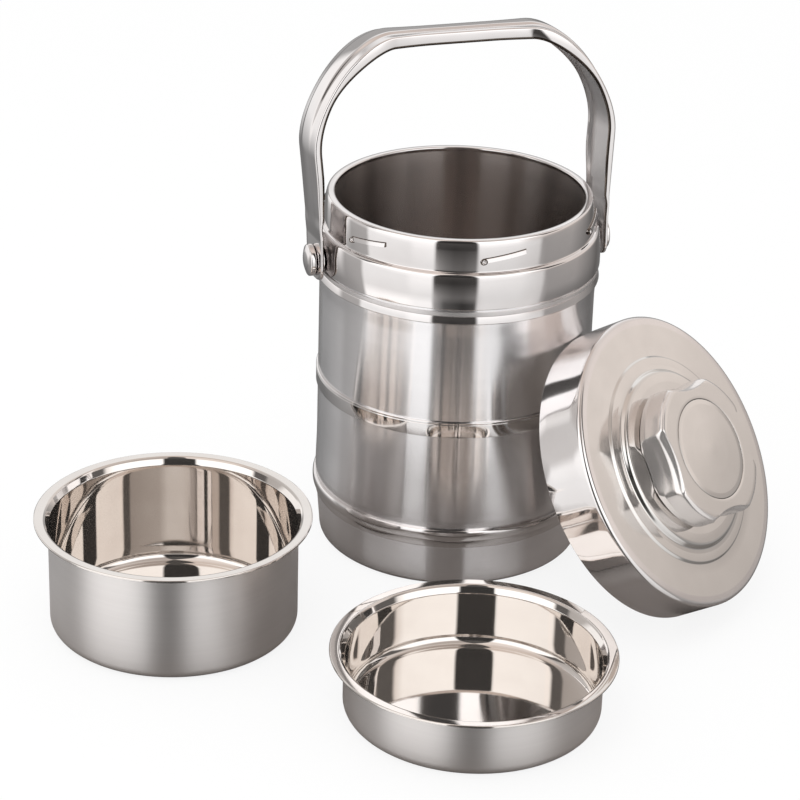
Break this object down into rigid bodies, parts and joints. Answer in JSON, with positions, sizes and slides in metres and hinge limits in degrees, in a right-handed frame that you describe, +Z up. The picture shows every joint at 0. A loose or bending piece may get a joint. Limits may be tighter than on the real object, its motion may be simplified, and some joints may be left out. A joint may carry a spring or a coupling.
{
  "type": "insulated food carrier",
  "caption": "Double-walled steel food carrier with a swinging bail, a lift-off insulated lid with a lobed knob, and loose serving bowls beside it.",
  "frame": {"origin": "centre of the pot's base, on the floor plane", "axes": "+Z up along the pot's axis, X along the line through the bail's two pivots, -Y towards the side that the lid and the shallow bowl stand on"},
  "size_m": [0.4048, 0.3448, 0.2926],
  "materials": {
    "polished_steel": "mirror-polished stainless steel",
    "brushed_steel": "satin stainless steel, brushed round the wall",
    "liner_steel": "drawn stainless steel, darker inside",
    "foam": "rigid insulating foam, hidden",
    "silicone": "soft sealing ring",
    "insert_plastic": "threaded insert, hidden"
  },
  "bodies": {
    "pot": {"pot_collar": "polished_steel", "pot_body_shell": "brushed_steel", "pot_hem_ring": "polished_steel", "pot_middle_band": "polished_steel", "pot_foot_bead": "polished_steel", "pot_base_cup": "brushed_steel", "pot_liner": "liner_steel", "pot_insulation": "foam", "rivet_right": "polished_steel", "rivet_left": "polished_steel", "pivot_washer_right": "polished_steel", "pivot_washer_left": "polished_steel", "backing_plate_right": "brushed_steel", "backing_plate_left": "brushed_steel"},
    "bail": {"bail_handle": "polished_steel"},
    "lid": {"lid_cover": "polished_steel", "lid_pan": "polished_steel", "lid_insulation": "foam", "lid_gasket": "silicone", "lid_lock_ring": "brushed_steel", "knob_shell": "polished_steel", "knob_cap": "polished_steel", "knob_insert": "insert_plastic", "knob_screw": "brushed_steel", "knob_screw_washer": "brushed_steel"},
    "bowl_deep": {"deep_bowl": "brushed_steel"},
    "bowl_shallow": {"shallow_bowl": "brushed_steel"}
  },
  "joints": [
    {"name": "bail_swing", "type": "hinge", "parent": "pot", "child": "bail", "pos_m": [0, 0, 0.1705], "axis": [1, 0, 0], "range_deg": [-122, 96]},
    {"name": "lid_away", "type": "slide", "parent": "pot", "child": "lid", "axis": [0.6361, -0.7716, 0], "range_m": [0, 0.08]},
    {"name": "deep_bowl_lift", "type": "slide", "parent": "pot", "child": "bowl_deep", "axis": [0, 0, 1], "range_m": [0, 0.1]},
    {"name": "shallow_bowl_lift", "type": "slide", "parent": "pot", "child": "bowl_shallow", "axis": [0, 0, 1], "range_m": [0, 0.1]}
  ]
}
